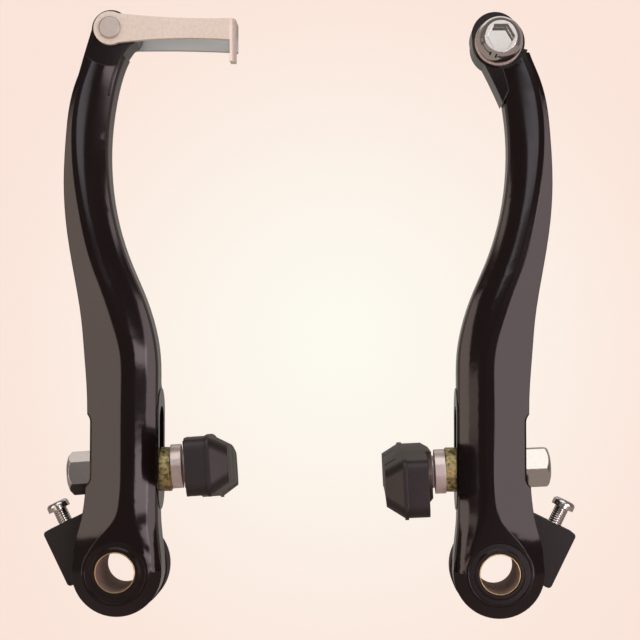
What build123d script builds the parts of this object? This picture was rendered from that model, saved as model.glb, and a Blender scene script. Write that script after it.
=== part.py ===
from build123d import *
import os
from math import cos, radians, sin, sqrt
from typing import NamedTuple

# V-brake, both arms. Millimetres, +Z up.
# The origin lies midway between the two pivot axes, in the plane where the pivot
# sleeves seat on the frame bosses. +Y points to the frame, so the front is at -Y.
# Each side is drawn once, in a side frame: its origin is on the pivot axis, +X
# points inward to the wheel rim, and a depth is a distance in front of the seat plane.

# Places of the two arms
pivot_spacing = 80.0

# How far a cut runs past the face that it opens
cut_past = 1.0

# Pivot sleeve, pressed over the frame boss
boss_bore_radius = 4.05
sleeve_wall = 0.95
sleeve_proud = 0.3
sleeve_shoulder_gap = 0.1
sleeve_nose_wall = 0.3
running_clearance = 0.05

# Arm forging
arm_rear_depth = 6.0
arm_upper_rear_depth = 6.5
arm_front_depth = 15.2
eye_radius = 9.5
eye_face_radius = 7.0
eye_bevel_drop = 1.9
edge_round = 0.9
inner_swell = 0.28

# Slot for the pad post, with its raised seat and its outer pocket
post_depth = 7.3
post_height = 21.0
slot_half_width = 3.25
slot_low = 16.3
slot_high = 34.5
seat_face = 8.65
seat_half_width = 5.0
seat_margin = 3.8
pocket_floor = -1.25
pocket_half_width = 5.2
boss_rear_depth = 1.4
boss_low = 13.4
boss_high = 41.0
boss_inset = 0.35

# Left arm's head: a thin lug, by its outline points from the pivot axis
rivet_x = -1.4
rivet_height = 114.1
lug_radius = 4.05
lug_thickness = 7.0
lug_mid_drop = 4.6
link_recess_radius = 7.8
lug_corner = (1.7, 113.1)
lug_corner_radius = 2.7
lug_outer_side = [(-9.1, 101.5), (-7.1, 108.6)]
lug_shoulder = (-6.4, 109.0)
lug_inner_side = (4.3, 112.4)
lug_inner_bend = (1.3, 108.7)
lug_root = (-1.6, 100.0)

# Right arm's head: a round boss for the cable anchor bolt
anchor_x = -0.1
anchor_height = 110.8
anchor_boss_radius = 5.5
anchor_face_drop = 1.0
anchor_recess_radius = 5.75
anchor_crown = (0.7, 1.5)
anchor_crown_radius = 4.9
anchor_shoulder = (-6.2, 109.2)
anchor_inner_bend = (1.9, 104.3)
anchor_root = (-1.0, 98.0)
anchor_rear_step = 0.4

# Dust collar in the front of the eye
collar_radius = 6.3
collar_thickness = 1.1
collar_lip_radius = 5.3
collar_lip_height = 0.3
fit_gap = 0.05

# Spring housing, turned outward about the pivot
housing_radius = 9.7
housing_rear_gap = 0.2
housing_front_gap = 0.3
housing_floor = 1.4
housing_wall = 1.3
block_turn = 26.0
block_reach = 12.4
block_inner = 2.5
block_low = 1.0
block_high = 13.9
block_round = 0.8

# Return spring, coiled round the sleeve
wire_radius = 0.5
wire_sides = 8
coil_radius = 6.6
coil_turns = 2.5
coil_pitch = 1.08
spring_leg_depth = 3.0
spring_tail_radius = 8.8
spring_tail_angle = 16.0
spring_tail_room = 24.0

# Stopper pin, into the spring hole beside the frame boss
stopper_radius = 1.2
stopper_edge = 0.4
stopper_reach = 7.3
stopper_out = 4.5

# Tension screw, M3
screw_offset = 7.5
screw_radius = 1.45
screw_length = 12.0
screw_head_radius = 2.45
screw_head_height = 1.7
screw_out = {"left": 3.0, "right": 3.8}
screw_cross_width = 0.7
screw_cross_length = 2.9
screw_cross_depth = 1.0

# Ball washers and dished washers of the pad post
ball_radius = 8.55
ball_gap = 0.03
washer_radius = 4.7
outer_dish_radius = 4.25
ball_hole_radius = 3.7
dish_hole_radius = 2.6
dish_face_reach = 9.4
foot_washer_radius = 3.5
foot_washer_thickness = 0.9
foot_washer_edge = 0.35

# Pad post, M5, and its nut
post_radius = 2.5
post_edge = 0.5
post_foot_radius = 4.2
post_foot_thickness = 1.4
post_foot_inset = 3.4
nut_across_flats = 8.0
nut_height = 5.6
nut_roof = 1.0
nut_corner_drop = 1.1
nut_flat_radius = 2.7
nut_dome_radius = 3.75
nut_dome_drop = 0.35

# Brake pad
pad_half_length = 27.0
pad_height = 11.5
pad_boss_rise = 1.5
pad_base_thickness = 4.9
pad_nose_thickness = 3.5
pad_nose_taper = 30.0
pad_flash_height = 0.3
pad_flash_thickness = 0.7
pad_boss_length = 30.0
pad_boss_top_length = 17.0
pad_boss_top_height = 9.6
pad_end_round = 2.4
rim_line_radius = 280.0
groove_width = 1.3
groove_depth = 2.3
groove_pitch = 18.0

# How each pad and nut stands in the photo, about the centre of the ball washers
nut_turn = {"left": 30.0, "right": 0.0}
pad_roll = {"left": 4.0, "right": -2.7}
pad_toe = {"left": 3.0, "right": 0.0}
pad_pitch = {"left": 5.5, "right": 0.0}

# Cable link, folded from sheet, and its rivet
link_sheet = 1.2
link_play = 0.1
link_reach = 26.4
link_eye_radius = 3.5
link_bend_radius = 1.7
link_end_low = -7.1
link_end_high = 1.9
link_rear_extra = 0.9
link_start = (1.2, 3.15)
link_top_middle = (12.0, 2.15)
link_low_middle = (16.0, -2.25)
link_low_end = -2.7
link_rear_low = -3.9
keyhole_radius = 2.6
keyhole_height = -2.3
keyhole_slot_width = 2.4
rivet_radius = 1.9
rivet_head_radius = 2.35
rivet_head_height = 0.7
rivet_head_edge = 0.3

# Cable anchor bolt, M6, and its washer
anchor_washer_radius = 5.0
anchor_washer_thickness = 1.1
anchor_washer_edge = 0.28
anchor_head_radius = 4.75
anchor_head_height = 4.7
anchor_head_side = 1.2
anchor_head_bulge = (4.3, 3.5)
anchor_head_top_radius = 3.3
anchor_socket_flats = 5.0
anchor_socket_depth = 3.0
anchor_thread_radius = 3.0
anchor_tail = 0.8

# Values that follow from the sizes above
sleeve_radius = boss_bore_radius + sleeve_wall
nose_radius = boss_bore_radius + sleeve_nose_wall
eye_bore_radius = sleeve_radius + running_clearance
housing_front = arm_rear_depth - housing_front_gap
collar_seat_depth = arm_front_depth - collar_thickness
sleeve_length = arm_front_depth + sleeve_proud
sleeve_shoulder_depth = collar_seat_depth - sleeve_shoulder_gap
anchor_face_depth = arm_front_depth - anchor_face_drop
lug_mid_depth = arm_front_depth - lug_mid_drop
screw_mid_depth = (housing_rear_gap + housing_front) / 2
ball_centre_x = (seat_face + pocket_floor) / 2
seat_reach = seat_face - ball_centre_x
post_head_x = dish_face_reach + foot_washer_thickness
pad_face_x = post_head_x + pad_boss_rise + pad_base_thickness + pad_nose_thickness


class Station(NamedTuple):
    """One level cut through the arm, by its height above the pivot axis."""
    height: float
    outer: float
    crease: float
    strip: float
    inner: float
    outer_drop: float
    inner_drop: float
    front: float
    rear: float


# From the eye up: outer edge, crease, end of the flat strip beside it, inner edge,
# how far the two edges drop back from the strip, and the front and rear depths.
arm_stations = [
    Station(0.0, -9.5, -7.0, 7.0, 9.5, eye_bevel_drop, eye_bevel_drop, arm_front_depth, arm_rear_depth),
    Station(4.0, -9.2, -5.6, 5.8, 9.2, 2.2, 2.0, arm_front_depth, arm_rear_depth),
    Station(7.5, -8.5, -3.2, 4.6, 8.8, 2.5, 2.1, arm_front_depth, arm_rear_depth),
    Station(10.5, -7.7, -0.6, 3.3, 8.55, 2.8, 2.3, arm_front_depth, arm_rear_depth),
    Station(15.0, -7.0, 0.8, 2.6, 8.5, 3.0, 2.4, arm_front_depth, arm_rear_depth),
    Station(24.0, -6.6, 1.1, 2.8, 8.5, 3.0, 2.4, arm_front_depth, arm_rear_depth),
    Station(38.0, -6.6, 1.1, 2.8, 8.5, 3.0, 2.4, arm_front_depth, arm_rear_depth),
    Station(46.0, -7.2, 0.8, 2.4, 8.3, 3.0, 2.4, arm_front_depth, arm_rear_depth),
    Station(52.0, -7.65, -0.8, 0.8, 7.15, 2.6, 2.3, arm_front_depth, arm_rear_depth),
    Station(58.0, -8.45, -2.8, -1.3, 5.15, 2.2, 2.2, arm_front_depth, arm_rear_depth),
    Station(65.0, -9.65, -5.4, -4.0, 2.15, 1.7, 2.1, arm_front_depth, arm_rear_depth),
    Station(73.0, -10.8, -7.4, -6.1, -0.4, 1.3, 2.0, arm_front_depth, arm_upper_rear_depth),
    Station(82.0, -11.25, -8.9, -7.7, -1.9, 0.9, 1.9, arm_front_depth, arm_upper_rear_depth),
    Station(91.0, -10.8, -9.5, -8.4, -2.1, 0.6, 1.8, arm_front_depth, arm_upper_rear_depth),
    Station(99.0, -9.8, -8.8, -7.7, -1.2, 0.5, 1.7, arm_front_depth, arm_upper_rear_depth),
    Station(104.0, -8.3, -7.4, -6.3, -0.1, 0.5, 1.7, arm_front_depth, arm_upper_rear_depth),
    Station(108.5, -6.5, -5.6, -4.5, 1.6, 0.5, 1.7, arm_front_depth, arm_upper_rear_depth),
]


def along_y(radius, near, far):
    """A round bar along Y between two depths."""
    return Pos(0, -near, 0) * extrude(Plane.XZ * Circle(radius), far - near)


def along_x(radius, start, end):
    """A round bar along X."""
    return Pos(start, 0, 0) * extrude(Plane.YZ * Circle(radius), end - start)


def turned_about_y(points):
    """A turned piece on the pivot axis, from its radius and depth points."""
    outline = make_face(Polyline([(radius, -depth, 0) for radius, depth in points], close=True))
    return revolve(outline, Axis.Y)


def turned_about_x(points):
    """A turned piece along X, from its place and radius points."""
    outline = make_face(Polyline([(place, radius, 0) for place, radius in points], close=True))
    return revolve(outline, Axis.X)


def stadium_x(half_width, low, high, start, end, depth):
    """An upright rounded slot, run along X between two places."""
    middle = (low + high) / 2
    outline = Plane.YZ * Rot(0, 0, 90) * SlotOverall(high - low, 2 * half_width)
    return Pos(start, -depth, middle) * extrude(outline, end - start)


def arm_section(station):
    """The closed outline of the arm at one height: a flat outer facet, a narrow
    strip beside the crease and a rounded inner part."""
    s = station
    outer_edge = -(s.front - s.outer_drop)
    inner_edge = -(s.front - s.inner_drop)
    corners = [
        (s.outer, -(s.rear + edge_round)),
        (s.outer, outer_edge),
        (s.crease, -s.front),
        (s.strip, -s.front),
    ]
    swell = ((s.strip + s.inner) / 2, -(s.front - inner_swell * s.inner_drop))
    shoulder = (s.inner - edge_round / 3, inner_edge - edge_round / 3)
    side = (s.inner, inner_edge + edge_round)
    rear = [
        (s.inner, -(s.rear + edge_round)),
        (s.inner - edge_round, -s.rear),
        (s.outer + edge_round, -s.rear),
    ]
    edges = [Line(a, b) for a, b in zip(corners, corners[1:])]
    edges.append(ThreePointArc(corners[-1], swell, shoulder))
    edges.append(Line(shoulder, side))
    edges.append(Line(side, rear[0]))
    edges.append(Line(rear[0], rear[1]))
    edges.append(Line(rear[1], rear[2]))
    edges.append(Line(rear[2], corners[0]))
    return Pos(0, 0, s.height) * make_face(Wire(edges))


def eye():
    """The round eye of the arm, with its bevelled rim."""
    bevel_depth = arm_front_depth - eye_bevel_drop
    outline = [
        (0, arm_rear_depth),
        (eye_radius - edge_round, arm_rear_depth),
        (eye_radius, arm_rear_depth + edge_round),
        (eye_radius, bevel_depth),
        (eye_face_radius, arm_front_depth),
        (0, arm_front_depth),
    ]
    return turned_about_y(outline)


def slot_boss():
    """The deep rear of the arm round the post slot, which narrows at both ends."""
    lower = arm_stations[4]
    outer = lower.outer + boss_inset
    inner = lower.inner - boss_inset
    profile = Plane.XZ * make_face(Polyline([
        (outer, boss_low),
        (inner, boss_low),
        (inner, boss_high),
        (outer + boss_inset, boss_high),
    ], close=True))
    boss = Pos(0, -boss_rear_depth, 0) * extrude(profile, arm_rear_depth + edge_round - boss_rear_depth)
    boss = fillet(boss.edges().filter_by(Axis.Y), edge_round)
    ramp_depth = arm_rear_depth - boss_rear_depth
    ramp = Plane.YZ * make_face(Polyline([
        (-boss_rear_depth, boss_high - ramp_depth),
        (-boss_rear_depth, boss_high),
        (-arm_rear_depth, boss_high),
    ], close=True))
    return boss - extrude(ramp, 2 * eye_radius, both=True)


def post_slot():
    """The slot right through the arm and the wider pocket on its outer side."""
    pocket_margin = pocket_half_width - slot_half_width
    slot = stadium_x(slot_half_width, slot_low, slot_high, -2 * eye_radius, 2 * eye_radius, post_depth)
    pocket = stadium_x(pocket_half_width, slot_low - pocket_margin, slot_high + pocket_margin,
                       -2 * eye_radius, pocket_floor, post_depth)
    return slot + pocket


def arm_body():
    """What both arms share: eye, shank, deep slot boss and raised washer seat."""
    shank = loft([arm_section(s) for s in arm_stations])
    seat = stadium_x(seat_half_width, slot_low - seat_margin, slot_high + seat_margin,
                     seat_face - 2 * edge_round, seat_face, post_depth)
    body = shank + eye() + slot_boss() + seat
    body -= post_slot()
    body -= along_y(eye_bore_radius, 0, arm_front_depth + cut_past)
    body -= along_y(collar_radius + fit_gap, collar_seat_depth, arm_front_depth + cut_past)
    leg_hole = along_y(wire_radius + fit_gap, arm_rear_depth - cut_past, arm_rear_depth + spring_leg_depth)
    return body - spring_frame() * Pos(spring_leg_side() * coil_radius, 0, 0) * leg_hole


def spring_frame():
    """The spring's frame: X points along its tail, inside the housing's block."""
    return Rot(0, -(180 + block_turn - spring_tail_angle), 0)


def spring_leg_side():
    """The leg leaves the coil after a whole number of half turns."""
    return 1 if round(2 * coil_turns) % 2 == 0 else -1


def head_neck(root, shoulder, middle, inner_side, inner_bend):
    """The flat outline from the shank up to the middle of an arm's head, with a
    straight outer side and a hollow inner side."""
    return make_face(Wire([
        Line(root, shoulder),
        Line(shoulder, middle),
        Line(middle, inner_side),
        ThreePointArc(inner_side, inner_bend, root),
    ]))


def left_head():
    """The thin lug that the cable link folds on."""
    rivet = (rivet_x, rivet_height)
    outline = head_neck(lug_root, lug_shoulder, rivet, lug_inner_side, lug_inner_bend)
    outline += Pos(*rivet) * Circle(lug_radius)
    outline += Pos(*lug_corner) * Circle(lug_corner_radius)
    outline += make_face(Polyline(
        lug_outer_side + [(rivet_x - lug_radius, rivet_height), rivet, lug_root], close=True))
    rear = lug_mid_depth - lug_thickness / 2
    return Pos(0, -rear, 0) * extrude(Plane.XZ * outline, lug_thickness)


def left_arm():
    rivet_place = Pos(rivet_x, 0, rivet_height)
    near = lug_mid_depth - lug_thickness / 2
    far = lug_mid_depth + lug_thickness / 2
    arm = arm_body()
    arm -= rivet_place * along_y(link_recess_radius, far, arm_front_depth + cut_past)
    arm -= rivet_place * along_y(link_recess_radius, 0, near)
    arm += left_head()
    return arm - rivet_place * along_y(rivet_radius + running_clearance, 0, arm_front_depth + cut_past)


def right_head():
    """The round boss that carries the cable anchor bolt, with a fuller crown above
    it on the inner side."""
    middle = (anchor_x, anchor_height)
    crown = (anchor_x + anchor_crown[0], anchor_height + anchor_crown[1])
    inner_side = (anchor_x + anchor_boss_radius, anchor_height)
    outline = head_neck(anchor_root, anchor_shoulder, middle, inner_side, anchor_inner_bend)
    outline += Pos(*middle) * Circle(anchor_boss_radius)
    outline += Pos(*crown) * Circle(anchor_crown_radius)
    rear = arm_upper_rear_depth + anchor_rear_step
    return Pos(0, -rear, 0) * extrude(Plane.XZ * outline, anchor_face_depth - rear)


def right_arm():
    bolt_place = Pos(anchor_x, 0, anchor_height)
    arm = arm_body()
    arm -= bolt_place * along_y(anchor_recess_radius, anchor_face_depth, arm_front_depth + cut_past)
    arm += right_head()
    return arm - bolt_place * along_y(anchor_thread_radius, 0, arm_front_depth + cut_past)


def pivot_sleeve():
    """A brass sleeve with a thin nose that shows as a bright ring in the eye."""
    chamfer = sleeve_nose_wall / 2
    outline = [
        (boss_bore_radius, 0),
        (sleeve_radius, 0),
        (sleeve_radius, sleeve_shoulder_depth),
        (nose_radius, sleeve_shoulder_depth),
        (nose_radius, sleeve_length - chamfer),
        (nose_radius - chamfer, sleeve_length),
        (boss_bore_radius, sleeve_length),
    ]
    return turned_about_y(outline)


def dust_collar():
    inner = nose_radius + running_clearance
    lip_depth = arm_front_depth + collar_lip_height
    outline = [
        (inner, collar_seat_depth),
        (collar_radius, collar_seat_depth),
        (collar_radius, arm_front_depth),
        (collar_lip_radius, arm_front_depth),
        (collar_lip_radius - collar_lip_height, lip_depth),
        (inner, lip_depth),
    ]
    return turned_about_y(outline)


def block_frame():
    """The turned frame of the housing's block: X points outward along its top
    edge, Z along the tension screw."""
    return Rot(0, -block_turn, 0) * Rot(0, 0, 180)


def spring_housing():
    """A cup round the coil, with a block on its outer side for the screw."""
    depth = housing_front - housing_rear_gap
    cup = along_y(housing_radius, housing_rear_gap, housing_front)
    block = Pos((block_inner + block_reach) / 2, 0, (block_low + block_high) / 2)
    block = block * Box(block_reach - block_inner, depth, block_high - block_low)
    block = fillet(block.edges().filter_by(Axis.Y), block_round)
    body = cup + block_frame() * Pos(0, screw_mid_depth, 0) * block
    floor_depth = housing_rear_gap + housing_floor
    body -= along_y(housing_radius - housing_wall, floor_depth, housing_front + cut_past)
    body -= along_y(sleeve_radius + fit_gap, 0, housing_front)
    body -= tail_pocket(floor_depth)
    body -= block_frame() * screw_hole()
    return body - stopper_place() * along_y(stopper_radius, 0, floor_depth)


def tail_pocket(floor_depth):
    """The room in the housing's wall for the spring's tail."""
    reach = spring_tail_radius + wire_radius
    low = spring_tail_angle - spring_tail_room
    high = spring_tail_angle + spring_tail_room
    rays = [(2 * reach * cos(radians(a)), 2 * reach * sin(radians(a))) for a in (low, high)]
    wedge = Plane.XZ * make_face(Polyline([(0, 0), rays[0], rays[1]], close=True))
    wedge = Pos(0, -floor_depth, 0) * extrude(wedge, housing_front + cut_past - floor_depth)
    sector = wedge & along_y(reach, floor_depth, housing_front + cut_past)
    return block_frame() * Pos(0, floor_depth + housing_front + cut_past, 0) * sector


def screw_hole():
    """The screw's hole in the block, in the block's own frame."""
    bottom = screw_offset * sin(radians(spring_tail_angle))
    hole = extrude(Circle(screw_radius + fit_gap), block_high + cut_past - bottom)
    return Pos(screw_offset, screw_mid_depth, bottom) * hole


def stopper_place():
    return Pos(0, 0, stopper_reach)


def stopper_pin():
    floor_depth = housing_rear_gap + housing_floor
    pin = along_y(stopper_radius, -stopper_out, floor_depth - fit_gap)
    rear_edge = pin.edges().sort_by(Axis.Y)[-1]
    return stopper_place() * chamfer(rear_edge, stopper_edge)


def return_spring():
    """A coil round the sleeve, a leg into the arm and a tail in the housing."""
    start = housing_rear_gap + housing_floor + wire_radius + fit_gap
    rise = coil_turns * coil_pitch
    path = Helix(coil_pitch, rise, coil_radius)
    profile = Plane(path @ 0, z_dir=path % 0) * RegularPolygon(wire_radius, wire_sides)
    coil = sweep(profile, path)
    coil = Pos(0, -start, 0) * Rot(90, 0, 0) * coil
    tail = along_x(wire_radius, coil_radius, spring_tail_radius) + Pos(coil_radius, 0, 0) * Sphere(wire_radius)
    tail = Pos(0, -start, 0) * tail
    end = path @ 1
    leg = along_y(wire_radius, 0, arm_rear_depth + spring_leg_depth - start - rise - fit_gap)
    leg += Sphere(wire_radius)
    leg = Pos(end.X, -start - rise, end.Y) * leg
    return spring_frame() * (coil + tail + leg)


def tension_screw(side):
    """A pan-head screw with a cross recess, in the block's own frame."""
    head_seat = block_high + screw_out[side]
    shank = extrude(Circle(screw_radius), screw_length)
    dome = screw_head_height / 2
    head = extrude(Circle(screw_head_radius), screw_head_height)
    head = fillet(head.edges().sort_by(Axis.Z)[-1], dome)
    cross = Box(screw_cross_length, screw_cross_width, 2 * screw_cross_depth)
    cross += Rot(0, 0, 90) * cross
    screw = Pos(0, 0, head_seat - screw_length) * shank
    screw += Pos(0, 0, head_seat) * head
    screw -= Pos(0, 0, head_seat + screw_head_height) * cross
    return block_frame() * Pos(screw_offset, screw_mid_depth, 0) * screw


# The pad set is drawn about the centre of its ball washers, with X along the post.

def on_ball(radius, away):
    """The point of a ball about the centre that lies this far from the post's axis."""
    return (sqrt(radius ** 2 - away ** 2), away)


def ball_washer():
    """Flat to the arm, round to the dished washer."""
    middle = (ball_hole_radius + washer_radius) / 2
    hole = on_ball(ball_radius, ball_hole_radius)
    rim = on_ball(ball_radius, washer_radius)
    outline = make_face(Wire([
        Line((seat_reach, ball_hole_radius), (seat_reach, washer_radius)),
        Line((seat_reach, washer_radius), rim),
        ThreePointArc(rim, on_ball(ball_radius, middle), hole),
        Line(hole, (seat_reach, ball_hole_radius)),
    ]))
    return revolve(outline, Axis.X)


def dished_washer(radius):
    """Hollow to the ball washer, flat to the nut or the foot washer."""
    hollow_radius = ball_radius + ball_gap
    middle = (dish_hole_radius + radius) / 2
    hole = on_ball(hollow_radius, dish_hole_radius)
    rim = on_ball(hollow_radius, radius)
    outline = make_face(Wire([
        Line(rim, (dish_face_reach, radius)),
        Line((dish_face_reach, radius), (dish_face_reach, dish_hole_radius)),
        Line((dish_face_reach, dish_hole_radius), hole),
        ThreePointArc(hole, on_ball(hollow_radius, middle), rim),
    ]))
    return revolve(outline, Axis.X)


def other_way(piece):
    """The same piece on the outer side of the arm."""
    return mirror(piece, Plane.YZ)


def foot_washer():
    washer = along_x(foot_washer_radius, dish_face_reach, post_head_x)
    washer = chamfer(washer.edges().filter_by(GeomType.CIRCLE), foot_washer_edge)
    return washer - along_x(post_radius + fit_gap, dish_face_reach - cut_past, post_head_x + cut_past)


def pad_post():
    """A threaded stud with a flat foot that is moulded into the pad."""
    end = -(dish_face_reach + nut_height - nut_roof - fit_gap)
    foot_start = post_head_x + post_foot_inset
    stud = along_x(post_radius, end, foot_start)
    stud = chamfer(stud.edges().sort_by(Axis.X)[0], post_edge)
    return stud + along_x(post_foot_radius, foot_start, foot_start + post_foot_thickness)


def pad_nut(turn):
    """A hexagon nut with a closed, rounded end."""
    corner_radius = nut_across_flats / sqrt(3)
    hexagon = Plane.YZ * Rot(0, 0, turn) * RegularPolygon(corner_radius, 6)
    stock = Pos(dish_face_reach, 0, 0) * extrude(hexagon, nut_height)
    end = dish_face_reach + nut_height
    dome = turned_about_x([
        (dish_face_reach, 0),
        (dish_face_reach, corner_radius),
        (end - nut_corner_drop, corner_radius),
        (end - nut_dome_drop, nut_dome_radius),
        (end, nut_flat_radius),
        (end, 0),
    ])
    nut = stock & dome
    return other_way(nut - along_x(post_radius, 0, end - nut_roof))


def rim_curve(half_length, height, end_round):
    """An outline that follows the rim: long curved sides and rounded ends."""
    half = height / 2
    drop = rim_line_radius - sqrt(rim_line_radius ** 2 - half_length ** 2)
    top = ThreePointArc((-half_length, half - drop), (0, half), (half_length, half - drop))
    bottom = ThreePointArc((half_length, -half - drop), (0, -half), (-half_length, -half - drop))
    right = Line((half_length, half - drop), (half_length, -half - drop))
    left = Line((-half_length, -half - drop), (-half_length, half - drop))
    outline = make_face(Wire([top, right, bottom, left]))
    return fillet(outline.vertices(), end_round)


def pad_slab(half_length, height, start, end, end_round=pad_end_round):
    outline = Plane.YZ * rim_curve(half_length, height, end_round)
    return Pos(start, 0, 0) * extrude(outline, end - start)


def brake_pad():
    """A moulded rubber pad: boss round the post's foot, base, flash line and a
    tapered friction block with drain grooves."""
    base_start = post_head_x + pad_boss_rise
    nose_start = base_start + pad_base_thickness
    shrink = pad_nose_thickness * sin(radians(pad_nose_taper)) / cos(radians(pad_nose_taper))
    base = pad_slab(pad_half_length, pad_height, base_start, nose_start)
    flash = pad_slab(pad_half_length + pad_flash_height, pad_height + 2 * pad_flash_height,
                     nose_start - pad_flash_thickness, nose_start)
    nose = loft([
        Plane.YZ.offset(nose_start) * rim_curve(pad_half_length, pad_height, pad_end_round),
        Plane.YZ.offset(pad_face_x) * rim_curve(
            pad_half_length - shrink, pad_height - 2 * shrink, pad_end_round),
    ])
    boss = loft([
        Plane.YZ.offset(post_head_x) * Rectangle(pad_boss_top_length, pad_boss_top_height),
        Plane.YZ.offset(base_start) * Rectangle(pad_boss_length, pad_height - 2 * pad_flash_height),
    ])
    pad = base + flash + nose + boss
    for step in (-1, 0, 1):
        groove = Box(groove_depth, groove_width, 2 * pad_height)
        pad -= Pos(pad_face_x - groove_depth / 2, step * groove_pitch, 0) * groove
    foot_start = post_head_x + post_foot_inset
    pad -= along_x(post_radius, post_head_x - cut_past, foot_start)
    return pad - along_x(post_foot_radius, foot_start, foot_start + post_foot_thickness)


def pad_place(side):
    """Where the pad set stands: the slot's height and the pad's own lean."""
    lean = Rot(0, -pad_roll[side], 0) * Rot(0, 0, pad_toe[side])
    return Pos(ball_centre_x, -post_depth, post_height) * lean


def pad_turn(side):
    return Rot(-pad_pitch[side], 0, 0)


# The link is drawn about the rivet, with X along the link.

def link_side(extra):
    """The side outline of one plate of the link, whose lower edge may lie deeper."""
    start_x, start_z = link_start
    middle_x, middle_z = link_low_middle
    top = Spline(link_start, link_top_middle, (link_reach, link_end_high))
    bottom = Spline((link_reach, link_low_end - extra), (middle_x, middle_z - extra), (start_x, -start_z))
    plate = make_face(Wire([
        top,
        Line(top @ 1, bottom @ 0),
        bottom,
        Line(bottom @ 1, top @ 0),
    ]))
    end = Pos(link_reach - link_sheet / 2, (link_end_high + link_end_low) / 2)
    end = end * Rectangle(link_sheet, link_end_high - link_end_low)
    return Plane.XZ * (plate + Circle(link_eye_radius) + end)


def cable_link():
    """A channel folded from one sheet: two side plates and an end plate with a
    keyhole for the cable guide."""
    inner_half = lug_thickness / 2 + link_play
    outer_half = inner_half + link_sheet
    low = -2 * link_eye_radius
    full_height = 6 * link_eye_radius
    start = -2 * link_eye_radius
    middle = (start + link_reach) / 2
    outer = Pos(middle, 0) * Rectangle(link_reach - start, 2 * outer_half)
    inner_end = link_reach - link_sheet
    inner = Pos((start + inner_end) / 2, 0) * Rectangle(inner_end - start, 2 * inner_half)
    outer = fillet(outer.vertices().group_by(Axis.X)[-1], link_bend_radius)
    inner = fillet(inner.vertices().group_by(Axis.X)[-1], link_bend_radius - link_sheet)
    fold = Pos(0, 0, 1.5 * low) * extrude(outer - inner, full_height)
    front = extrude(link_side(0), 2 * outer_half)
    rear = Pos(0, 2 * outer_half, 0) * extrude(link_side(link_rear_extra), 2 * outer_half)
    link = (fold & front) + (fold & rear)
    link -= along_y(rivet_radius + running_clearance, -2 * outer_half, 2 * outer_half)
    keyhole = along_x(keyhole_radius, inner_end - cut_past, link_reach + cut_past)
    slot_height = keyhole_height - link_end_low + cut_past
    keyhole += Pos(inner_end, 0, -slot_height / 2) * Box(4 * link_sheet, keyhole_slot_width, slot_height)
    link -= Pos(0, 0, keyhole_height) * keyhole
    rear_leg = Box(4 * link_sheet, 2 * outer_half, full_height, align=(Align.CENTER, Align.MIN, Align.MAX))
    return link - Pos(inner_end, 0, link_rear_low) * rear_leg


def link_rivet():
    half = lug_thickness / 2 + link_play + link_sheet + fit_gap
    end = half + rivet_head_height
    head = [
        (rivet_radius, half),
        (rivet_head_radius, half),
        (rivet_head_radius, end - rivet_head_edge),
        (rivet_head_radius - rivet_head_edge, end),
        (0, end),
    ]
    return turned_about_y([(radius, -depth) for radius, depth in reversed(head)] + head)


def link_place():
    return Pos(rivet_x, -lug_mid_depth, rivet_height)


def anchor_washer():
    washer = along_y(anchor_washer_radius, 0, anchor_washer_thickness)
    washer = chamfer(washer.edges().sort_by(Axis.Y)[0], anchor_washer_edge)
    return washer - along_y(anchor_thread_radius + fit_gap, -cut_past, anchor_washer_thickness + cut_past)


def anchor_bolt():
    """A round domed head with a hexagon socket, on an M6 thread."""
    base = anchor_washer_thickness
    top = base + anchor_head_height
    rear = arm_upper_rear_depth - anchor_face_depth - anchor_tail
    bulge_radius, bulge_rise = anchor_head_bulge
    side_end = (anchor_head_radius, -base - anchor_head_side)
    outline = make_face(Wire([
        Line((0, -rear), (anchor_thread_radius, -rear)),
        Line((anchor_thread_radius, -rear), (anchor_thread_radius, -base)),
        Line((anchor_thread_radius, -base), (anchor_head_radius, -base)),
        Line((anchor_head_radius, -base), side_end),
        ThreePointArc(side_end, (bulge_radius, -base - bulge_rise), (anchor_head_top_radius, -top)),
        Line((anchor_head_top_radius, -top), (0, -top)),
        Line((0, -top), (0, -rear)),
    ]))
    bolt = revolve(outline, Axis.Y)
    socket = Plane.XZ * RegularPolygon(anchor_socket_flats / sqrt(3), 6)
    return bolt - Pos(0, -(top - anchor_socket_depth), 0) * extrude(socket, anchor_socket_depth + cut_past)


def anchor_place():
    return Pos(anchor_x, -anchor_face_depth, anchor_height)


def side_pieces(side):
    """All pieces that both sides have, in the side frame."""
    place = pad_place(side)
    turned = place * pad_turn(side)
    washers = Pos(ball_centre_x, -post_depth, post_height)
    return {
        "arm": left_arm() if side == "left" else right_arm(),
        "pivot_sleeve": pivot_sleeve(),
        "dust_collar": dust_collar(),
        "spring_housing": spring_housing(),
        "stopper_pin": stopper_pin(),
        "return_spring": return_spring(),
        "tension_screw": tension_screw(side),
        "inner_ball_washer": washers * ball_washer(),
        "outer_ball_washer": washers * other_way(ball_washer()),
        "inner_dished_washer": place * dished_washer(washer_radius),
        "outer_dished_washer": place * other_way(dished_washer(outer_dish_radius)),
        "foot_washer": turned * foot_washer(),
        "pad_post": turned * pad_post(),
        "pad_nut": turned * pad_nut(nut_turn[side]),
        "brake_pad": turned * brake_pad(),
    }


def all_pieces():
    pieces = {}
    for side in ("left", "right"):
        for name, piece in side_pieces(side).items():
            pieces[f"{side}_{name}"] = on_side(side, piece)
    pieces["cable_link"] = on_side("left", link_place() * cable_link())
    pieces["link_rivet"] = on_side("left", link_place() * link_rivet())
    pieces["cable_anchor_washer"] = on_side("right", anchor_place() * anchor_washer())
    pieces["cable_anchor_bolt"] = on_side("right", anchor_place() * anchor_bolt())
    return pieces


def on_side(side, piece):
    """From the side frame to the brake's own frame."""
    if side == "left":
        return Pos(-pivot_spacing / 2, 0, 0) * piece
    return Pos(pivot_spacing / 2, 0, 0) * mirror(piece, Plane.YZ)


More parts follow.
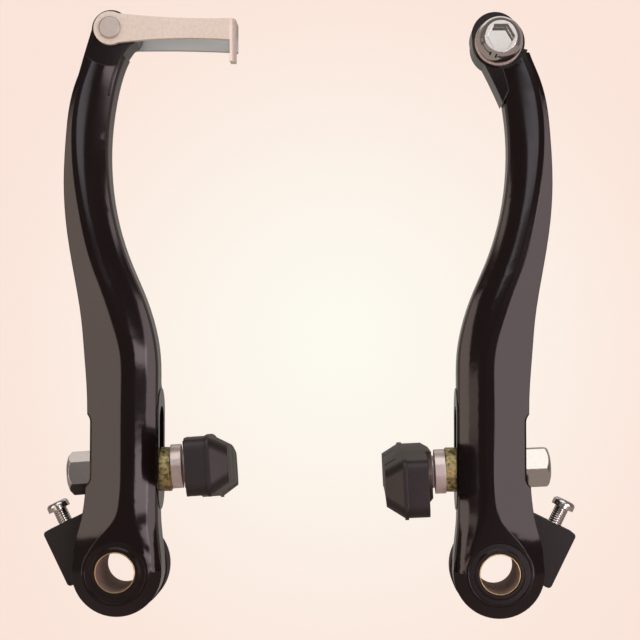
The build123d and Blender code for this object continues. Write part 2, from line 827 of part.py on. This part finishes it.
os.makedirs("parts", exist_ok=True)
for node, piece in all_pieces().items():
    export_step(piece, f"parts/{node}.step")
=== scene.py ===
import math
import bmesh
import bpy
from mathutils import Matrix, Vector


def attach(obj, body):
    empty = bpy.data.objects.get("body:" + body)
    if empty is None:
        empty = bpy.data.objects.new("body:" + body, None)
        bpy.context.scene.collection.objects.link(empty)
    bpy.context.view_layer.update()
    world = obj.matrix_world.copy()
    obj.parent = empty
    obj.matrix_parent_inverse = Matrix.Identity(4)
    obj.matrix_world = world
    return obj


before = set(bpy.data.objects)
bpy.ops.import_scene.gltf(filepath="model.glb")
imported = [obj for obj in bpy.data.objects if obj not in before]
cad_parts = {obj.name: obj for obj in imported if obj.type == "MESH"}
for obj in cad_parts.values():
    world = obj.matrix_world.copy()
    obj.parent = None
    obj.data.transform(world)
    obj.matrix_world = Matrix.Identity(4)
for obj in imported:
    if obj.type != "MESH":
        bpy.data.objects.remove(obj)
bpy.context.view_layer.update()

# V-brake, both arms. Metres, +Z up, the front at -Y, the origin midway between the pivots.

MM = 0.001
SIDES = {"left": -1.0, "right": 1.0}

# Camera, in front of the brake and a little to the right of the middle
camera_place = Vector((11.1, -315.0, 45.4)) * MM
camera_target = Vector((2.76, -15.2, 52.65)) * MM
camera_lens = 81.0
camera_clip_start = 10 * MM

# Floor and backdrop, one pale sweep
floor_height = -120 * MM
sweep_back = 420 * MM
sweep_front = -600 * MM
sweep_half_width = 900 * MM
sweep_top = 900 * MM
sweep_bend = 160 * MM
sweep_bend_steps = 16
sweep_merge_distance = 0.0001 * MM
sweep_roughness = 0.9

# The sweep's colours, a painted pool of light: the paler one round this height behind the brake, the
# darker, warmer one from this far out
sweep_middle_height = 55 * MM
sweep_fade_length = 220 * MM
sweep_painted_pool_colour = (1.0, 0.985, 0.90)
sweep_painted_falloff_colour = (0.985, 0.80, 0.72)

# The sweep's glow: its share of what the camera sees, and how bright it is in mirrors
sweep_glow = 0.92
sweep_in_mirrors = 0.30

# Lamps, in millimetres: name, place, width, height, how bright the lamp's face is, and its colour.
# A box at each side shines in the outer facets, smaller ones in the inner faces.
lamp_aim = Vector((0.0, -10.0, 50.0)) * MM
lamps = [
    ("left_box", (-520, -380, 75), 260, 450, 2.65, (1.0, 0.79, 0.68)),
    ("right_box", (494, -410, 75), 260, 450, 3.1, (1.0, 0.79, 0.81)),
    ("strip_high", (256, -500, 89), 288, 66, 4.4, (1.0, 0.80, 0.85)),
    ("strip_low", (256, -500, -58), 288, 104, 4.4, (1.0, 0.80, 0.85)),
    ("dim_high", (-257, -436, 20), 195, 55, 1.55, (1.0, 0.77, 0.67)),
    ("dim_low", (-257, -436, -65), 195, 50, 1.55, (1.0, 0.77, 0.67)),
    ("upper_box", (-45, -500, 196), 130, 84, 2.4, (0.97, 0.91, 1.0)),
    ("bolt_box", (88, -500, 223), 60, 36, 0.8, (1.0, 0.96, 0.95)),
    ("high_key", (0, -330, 600), 760, 560, 1.3, (1.0, 0.94, 0.90)),
    ("rear_high", (-20, 340, 440), 500, 260, 0.5, (1.0, 0.94, 0.90)),
]

# World: how strong it is as light, and how strong the camera sees it
world_colour = (1.0, 0.86, 0.80)
world_light = 0.15
world_seen = 0.96

# Grain and edges in every finish
cloud_detail = 3.0
cloud_share = 0.5
speck_detail = 2.0
speck_low = 0.4
speck_high = 0.7
grain_depth = 0.05 * MM
edge_samples = 6

# Pivot sleeve: the axes' distance from the middle, and the radii between which its dull bore,
# painted dark as shade, turns into its bright nose
pivot_x = 40.0 * MM
bore_edge = 4.06 * MM
nose_edge = 4.09 * MM
# The bore's colour is painted shade, dark where the recess lies in shadow.
bore_painted_shade = (0.26, 0.195, 0.165)
bore_rough = 0.65
nose_rough = 0.28

# Cable link: the depth midway between its two plates, and half the depth of the change between them, where
# the plate behind turns to painted shade
link_middle_y = -10.6 * MM
link_blend = 0.5 * MM
# Painted shade on the plate behind: darker and bluer than the front plate.
link_rear_painted_shade = (0.52, 0.61, 0.63)

# Tension screw: the point of the right one's axis that is nearest to the pivot's, its lean outward
# in degrees, and how far along the axis its block's top is. The left one's axis mirrors it.
screw_foot = Vector((46.741, -2.95, -3.288)) * MM
screw_lean = 26.0
screw_block_top = 13.9 * MM

# Its thread: how far the screw stands out of the block, and what is hidden in the hole
screw_out = {"left": 3.0 * MM, "right": 3.8 * MM}
thread_pitch = 0.5 * MM
thread_crest = 1.54 * MM
thread_root = 1.40 * MM
thread_hidden = 1.0 * MM
thread_steps = 24


# Small helpers for materials

def rgb(colour):
    """A colour as a socket takes it."""
    return (*colour, 1.0)


def fill(tree, node, inputs):
    """Fills a node's inputs, by name or number, each with a plain value or another node's output."""
    for name, value in inputs.items():
        if isinstance(value, bpy.types.NodeSocket):
            tree.links.new(value, node.inputs[name])
        else:
            node.inputs[name].default_value = value


def add(tree, kind, inputs=None, **settings):
    """A new node. Its settings come first, because some of them decide which inputs it has."""
    node = tree.nodes.new(kind)
    for name, value in settings.items():
        setattr(node, name, value)
    fill(tree, node, inputs or {})
    return node


def object_place(tree):
    """A point's place in the brake's own frame."""
    return add(tree, "ShaderNodeTexCoord").outputs["Object"]


def split(tree, vector):
    """A vector's outputs X, Y and Z."""
    return add(tree, "ShaderNodeSeparateXYZ", {"Vector": vector}).outputs


def length(tree, vector):
    return add(tree, "ShaderNodeVectorMath", {0: vector}, operation="LENGTH").outputs["Value"]


def calculate(tree, operation, *values, clamp=False):
    node = add(tree, "ShaderNodeMath", dict(enumerate(values)), operation=operation, use_clamp=clamp)
    return node.outputs["Value"]


def noise(tree, place, scale, detail):
    node = add(tree, "ShaderNodeTexNoise", {"Vector": place, "Scale": scale, "Detail": detail})
    return node.outputs["Fac"]


def stretch(tree, value, low, high, to_low=0.0, to_high=1.0, curve="LINEAR"):
    """Maps low..high to to_low..to_high, and stays at the ends beyond them."""
    node = add(tree, "ShaderNodeMapRange", {
        "Value": value, "From Min": low, "From Max": high, "To Min": to_low, "To Max": to_high,
    }, interpolation_type=curve)
    return node.outputs["Result"]


def mix(tree, share, first, second):
    """Two colours mixed, with this share of the second."""
    node = add(tree, "ShaderNodeMix", {"Factor": share, "A": first, "B": second}, data_type="RGBA")
    return node.outputs["Result"]


# Shader node groups

FLOAT = "NodeSocketFloat"
COLOUR = "NodeSocketColor"
VECTOR = "NodeSocketVector"


def new_group(name, inputs, outputs):
    """A shader node group with named inputs and outputs, each a name and a kind."""
    tree = bpy.data.node_groups.new(name, "ShaderNodeTree")
    for in_out, sockets in (("INPUT", inputs), ("OUTPUT", outputs)):
        for socket, kind in sockets.items():
            tree.interface.new_socket(socket, in_out=in_out, socket_type=kind)
    entry = tree.nodes.new("NodeGroupInput")
    leave = tree.nodes.new("NodeGroupOutput")
    return tree, entry.outputs, leave


def grain_group():
    """Fine grain: a tone that wanders and specks of a second colour."""
    tree, given, leave = new_group(
        "fine_grain",
        {"Colour": COLOUR, "Second": COLOUR, "Cloud Scale": FLOAT, "Speck Scale": FLOAT,
         "Speck Share": FLOAT},
        {"Colour": COLOUR, "Height": FLOAT, "Cloud": FLOAT},
    )
    place = object_place(tree)
    cloud = noise(tree, place, given["Cloud Scale"], cloud_detail)
    speck = noise(tree, place, given["Speck Scale"], speck_detail)
    specks = calculate(tree, "MULTIPLY", stretch(tree, speck, speck_low, speck_high), given["Speck Share"])
    second_share = calculate(tree, "MULTIPLY_ADD", cloud, cloud_share, specks, clamp=True)
    colour = mix(tree, second_share, given["Colour"], given["Second"])
    fill(tree, leave, {"Colour": colour, "Height": speck, "Cloud": cloud})
    return tree


def rounded_edge_group():
    """A normal that rounds sharp edges."""
    tree, given, leave = new_group("rounded_edge", {"Radius": FLOAT}, {"Normal": VECTOR})
    bevel = add(tree, "ShaderNodeBevel", {"Radius": given["Radius"]}, samples=edge_samples)
    fill(tree, leave, {"Normal": bevel.outputs["Normal"]})
    return tree


fine_grain = grain_group()
rounded_edge = rounded_edge_group()


# Finishes

class Finish:
    """A material with a wandering tone, fine grain and rounded edges. rough holds the lowest and
    highest roughness, and is left out where the finish gives its roughness itself."""

    def __init__(self, name, colour, second, rough=None, metallic=0.0, specular=0.5, cloud=80.0,
                 speck=1500.0, share=0.3, bump=0.0, edge=0.15 * MM):
        self.material = bpy.data.materials.new(name)
        self.material.use_nodes = True
        self.tree = self.material.node_tree
        grain = add(self.tree, "ShaderNodeGroup", {
            "Colour": rgb(colour), "Second": rgb(second), "Cloud Scale": cloud, "Speck Scale": speck,
            "Speck Share": share,
        }, node_tree=fine_grain)
        rounded = add(self.tree, "ShaderNodeGroup", {"Radius": edge}, node_tree=rounded_edge)
        relief = add(self.tree, "ShaderNodeBump", {
            "Strength": bump, "Distance": grain_depth, "Height": grain.outputs["Height"],
            "Normal": rounded.outputs["Normal"],
        })
        self.colour = grain.outputs["Colour"]
        self.set({"Base Color": self.colour, "Metallic": metallic, "Specular IOR Level": specular,
                  "Normal": relief.outputs["Normal"]})
        if rough:
            self.set({"Roughness": stretch(self.tree, grain.outputs["Cloud"], 0.0, 1.0, *rough)})

    def set(self, inputs):
        """Fills inputs of the finish's shader."""
        fill(self.tree, self.tree.nodes["Principled BSDF"], inputs)


def sleeve_finish():
    """Bright turned brass on the nose, dull down in the bore, with painted shade making the bore dark."""
    finish = Finish("sleeve_brass", (0.74, 0.55, 0.25), (0.58, 0.41, 0.19), specular=0.15)
    tree = finish.tree
    place = split(tree, object_place(tree))
    across = calculate(tree, "SUBTRACT", calculate(tree, "ABSOLUTE", place["X"]), pivot_x)
    from_axis = add(tree, "ShaderNodeCombineXYZ", {"X": across, "Z": place["Z"]})
    nose = stretch(tree, length(tree, from_axis.outputs["Vector"]), bore_edge, nose_edge)
    finish.set({
        # Painted shade: the bore takes a dark colour in place of the brass.
        "Base Color": mix(tree, nose, rgb(bore_painted_shade), finish.colour),
        "Metallic": nose,
        "Roughness": stretch(tree, nose, 0.0, 1.0, bore_rough, nose_rough),
    })
    return finish


def link_finish():
    """Pale speckled zinc in front, with painted shade, darker and bluer, on the plate behind."""
    finish = Finish("link_zinc", (0.88, 0.84, 0.74), (0.68, 0.65, 0.57), (0.34, 0.48), metallic=0.35,
                    share=0.35, bump=0.08)
    tree = finish.tree
    depth = split(tree, object_place(tree))["Y"]
    behind = stretch(tree, depth, link_middle_y - link_blend, link_middle_y + link_blend)
    # Painted shade: the plate behind gets a darker, bluer colour.
    finish.set({"Base Color": mix(tree, behind, finish.colour, rgb(link_rear_painted_shade))})
    return finish


arm_black = Finish("arm_black", (0.0062, 0.0036, 0.0038), (0.0098, 0.0062, 0.0062), (0.08, 0.14),
                   specular=0.42, speck=2400.0, bump=0.04, edge=0.3 * MM)
sleeve_brass = sleeve_finish()
collar_black = Finish("collar_black", (0.0070, 0.0045, 0.0046), (0.012, 0.0085, 0.0085), (0.16, 0.27),
                      specular=0.35)
housing_plastic = Finish("housing_plastic", (0.010, 0.0085, 0.0083), (0.017, 0.014, 0.013), (0.45, 0.6),
                         specular=0.4, bump=0.15)
steel_plain = Finish("steel_plain", (0.52, 0.51, 0.49), (0.40, 0.39, 0.38), (0.28, 0.4), metallic=1.0)
spring_steel = Finish("spring_steel", (0.38, 0.38, 0.39), (0.28, 0.28, 0.29), (0.25, 0.4), metallic=1.0)
nickel_bright = Finish("nickel_bright", (0.74, 0.73, 0.70), (0.62, 0.61, 0.58), (0.12, 0.24),
                       metallic=1.0)
zinc_yellow = Finish("zinc_yellow", (0.66, 0.55, 0.24), (0.13, 0.12, 0.06), (0.32, 0.5), metallic=0.6,
                     cloud=350.0, speck=1300.0, share=0.95, bump=0.2)
washer_silver = Finish("washer_silver", (0.80, 0.73, 0.70), (0.64, 0.57, 0.55), (0.28, 0.42),
                       metallic=0.6)
pad_rubber = Finish("pad_rubber", (0.0105, 0.0080, 0.0083), (0.022, 0.0175, 0.018), (0.34, 0.50),
                    bump=0.2, edge=0.2 * MM)
link_zinc = link_finish()
rivet_steel = Finish("rivet_steel", (0.74, 0.70, 0.64), (0.62, 0.58, 0.53), (0.3, 0.42), metallic=0.7)
bolt_chrome = Finish("bolt_chrome", (0.82, 0.81, 0.79), (0.74, 0.73, 0.71), (0.05, 0.1), metallic=1.0)

both_sides = {
    "arm": arm_black,
    "pivot_sleeve": sleeve_brass,
    "dust_collar": collar_black,
    "spring_housing": housing_plastic,
    "stopper_pin": steel_plain,
    "return_spring": spring_steel,
    "tension_screw": nickel_bright,
    "inner_ball_washer": zinc_yellow,
    "outer_ball_washer": zinc_yellow,
    "inner_dished_washer": washer_silver,
    "outer_dished_washer": washer_silver,
    "foot_washer": washer_silver,
    "pad_post": steel_plain,
    "pad_nut": nickel_bright,
    "brake_pad": pad_rubber,
}
one_side = {
    "cable_link": link_zinc,
    "link_rivet": rivet_steel,
    "cable_anchor_washer": washer_silver,
    "cable_anchor_bolt": bolt_chrome,
}


def dress(node, finish):
    """Gives a node its finish."""
    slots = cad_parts[node].data.materials
    slots.clear()
    slots.append(finish.material)


for side in SIDES:
    for name, finish in both_sides.items():
        dress(f"{side}_{name}", finish)
for name, finish in one_side.items():
    dress(name, finish)


# Threads on the tension screws

def new_object(name, data):
    """An object with this data, in the scene."""
    made = bpy.data.objects.new(name, data)
    bpy.context.scene.collection.objects.link(made)
    return made


def mesh_object(name, mesh, material):
    """An object made from a finished bmesh."""
    data = bpy.data.meshes.new(name)
    mesh.to_mesh(data)
    mesh.free()
    data.materials.append(material)
    return new_object(name, data)


def screw_thread(side):
    """The helical ridge on the part of a tension screw that stands out of its block."""
    turns = round((thread_hidden + screw_out[side]) / thread_pitch)
    mesh = bmesh.new()
    corners = [mesh.verts.new((radius, 0, share * thread_pitch))
               for radius, share in ((thread_root, 0.0), (thread_crest, 0.5), (thread_root, 1.0))]
    for start, end in zip(corners, corners[1:] + corners[:1]):
        mesh.edges.new((start, end))
    bmesh.ops.spin(mesh, geom=mesh.verts[:] + mesh.edges[:], cent=(0, 0, 0), axis=(0, 0, 1),
                   dvec=(0, 0, thread_pitch / thread_steps), angle=math.tau * turns,
                   steps=thread_steps * turns)
    bmesh.ops.holes_fill(mesh, edges=[e for e in mesh.edges if e.is_boundary], sides=3)
    bmesh.ops.recalc_face_normals(mesh, faces=mesh.faces[:])
    foot = Matrix.Translation((SIDES[side] * screw_foot.x, screw_foot.y, screw_foot.z))
    lean = Matrix.Rotation(SIDES[side] * math.radians(screw_lean), 4, "Y")
    rise = Matrix.Translation((0, 0, screw_block_top - thread_hidden))
    bmesh.ops.transform(mesh, matrix=foot @ lean @ rise, verts=mesh.verts[:])
    thread = mesh_object(f"{side}_screw_thread", mesh, nickel_bright.material)
    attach(thread, f"{side}_screw")


for side in SIDES:
    screw_thread(side)


# The stage: one pale sweep, lamps, world and camera

def sweep_material():
    """Cream with a painted pool of light behind the brake that fades to a darker, warmer cream outwards,
    with a glow that only the camera and mirrors see.
    """
    material = bpy.data.materials.new("sweep_cream")
    material.use_nodes = True
    tree = material.node_tree
    shader = tree.nodes["Principled BSDF"]
    from_middle = add(tree, "ShaderNodeMapping", {
        "Vector": object_place(tree), "Location": (0.0, 0.0, -sweep_middle_height),
    }).outputs["Vector"]
    flat = add(tree, "ShaderNodeVectorMath", {0: from_middle, 1: (1.0, 0.0, 1.0)}, operation="MULTIPLY")
    reach = length(tree, flat.outputs["Vector"])
    # Painted light: paler round the middle behind the brake, darker and warmer outwards.
    outwards = stretch(tree, reach, 0.0, sweep_fade_length, curve="SMOOTHSTEP")
    colour = mix(tree, outwards, rgb(sweep_painted_pool_colour), rgb(sweep_painted_falloff_colour))
    fill(tree, shader, {"Base Color": colour, "Roughness": sweep_roughness})

    path = add(tree, "ShaderNodeLightPath").outputs
    to_camera = path["Is Camera Ray"]
    in_mirror = path["Is Glossy Ray"]
    strength = calculate(tree, "MULTIPLY_ADD", in_mirror, sweep_in_mirrors, to_camera)
    glow = add(tree, "ShaderNodeEmission", {"Color": colour, "Strength": strength})
    seen = calculate(tree, "MAXIMUM", to_camera, in_mirror)
    blend = add(tree, "ShaderNodeMixShader", {
        "Fac": calculate(tree, "MULTIPLY", seen, sweep_glow),
        1: shader.outputs["BSDF"],
        2: glow.outputs["Emission"],
    })
    fill(tree, tree.nodes["Material Output"], {"Surface": blend.outputs["Shader"]})
    return material


def make_sweep():
    """A floor that bends up into a backdrop."""
    mesh = bmesh.new()
    start = mesh.verts.new((-sweep_half_width, sweep_front, floor_height))
    bend_start = mesh.verts.new((-sweep_half_width, sweep_back - sweep_bend, floor_height))
    mesh.edges.new((start, bend_start))
    centre = Vector((0, sweep_back - sweep_bend, floor_height + sweep_bend))
    curve = bmesh.ops.spin(mesh, geom=[bend_start], cent=centre, axis=(1, 0, 0),
                           angle=math.radians(90), steps=sweep_bend_steps)
    last = [v for v in curve["geom_last"] if isinstance(v, bmesh.types.BMVert)][0]
    top = mesh.verts.new((-sweep_half_width, sweep_back, sweep_top))
    mesh.edges.new((last, top))
    bmesh.ops.remove_doubles(mesh, verts=mesh.verts[:], dist=sweep_merge_distance)
    made = bmesh.ops.extrude_edge_only(mesh, edges=mesh.edges[:])
    moved = [v for v in made["geom"] if isinstance(v, bmesh.types.BMVert)]
    bmesh.ops.translate(mesh, verts=moved, vec=(2 * sweep_half_width, 0, 0))
    bmesh.ops.recalc_face_normals(mesh, faces=mesh.faces[:])
    for face in mesh.faces:
        face.smooth = True
    mesh_object("sweep", mesh, sweep_material())


def stand(made, place, target):
    """Puts a lamp or the camera at a place, facing a target."""
    made.location = place
    made.rotation_mode = "QUATERNION"
    made.rotation_quaternion = (target - place).to_track_quat("-Z", "Y")


def make_lamp(name, place, width, height, brightness, colour):
    """An oblong lamp whose face is this bright at any size."""
    data = bpy.data.lights.new(name, "AREA")
    data.shape = "RECTANGLE"
    data.size = width * MM
    data.size_y = height * MM
    data.energy = brightness * math.pi * data.size * data.size_y
    data.color = colour
    stand(new_object(name, data), Vector(place) * MM, lamp_aim)


def make_world():
    """Faint as light, and pale where the camera looks past the sweep."""
    world = bpy.data.worlds.new("studio")
    world.use_nodes = True
    tree = world.node_tree
    to_camera = add(tree, "ShaderNodeLightPath").outputs["Is Camera Ray"]
    fill(tree, tree.nodes["Background"], {
        "Color": rgb(world_colour),
        "Strength": stretch(tree, to_camera, 0.0, 1.0, world_light, world_seen),
    })
    bpy.context.scene.world = world


def make_camera():
    data = bpy.data.cameras.new("camera")
    data.lens = camera_lens
    data.clip_start = camera_clip_start
    camera = new_object("camera", data)
    stand(camera, camera_place, camera_target)
    bpy.context.scene.camera = camera


make_sweep()
for lamp in lamps:
    make_lamp(*lamp)
make_world()
make_camera()
bpy.context.scene.view_settings.view_transform = "Standard"
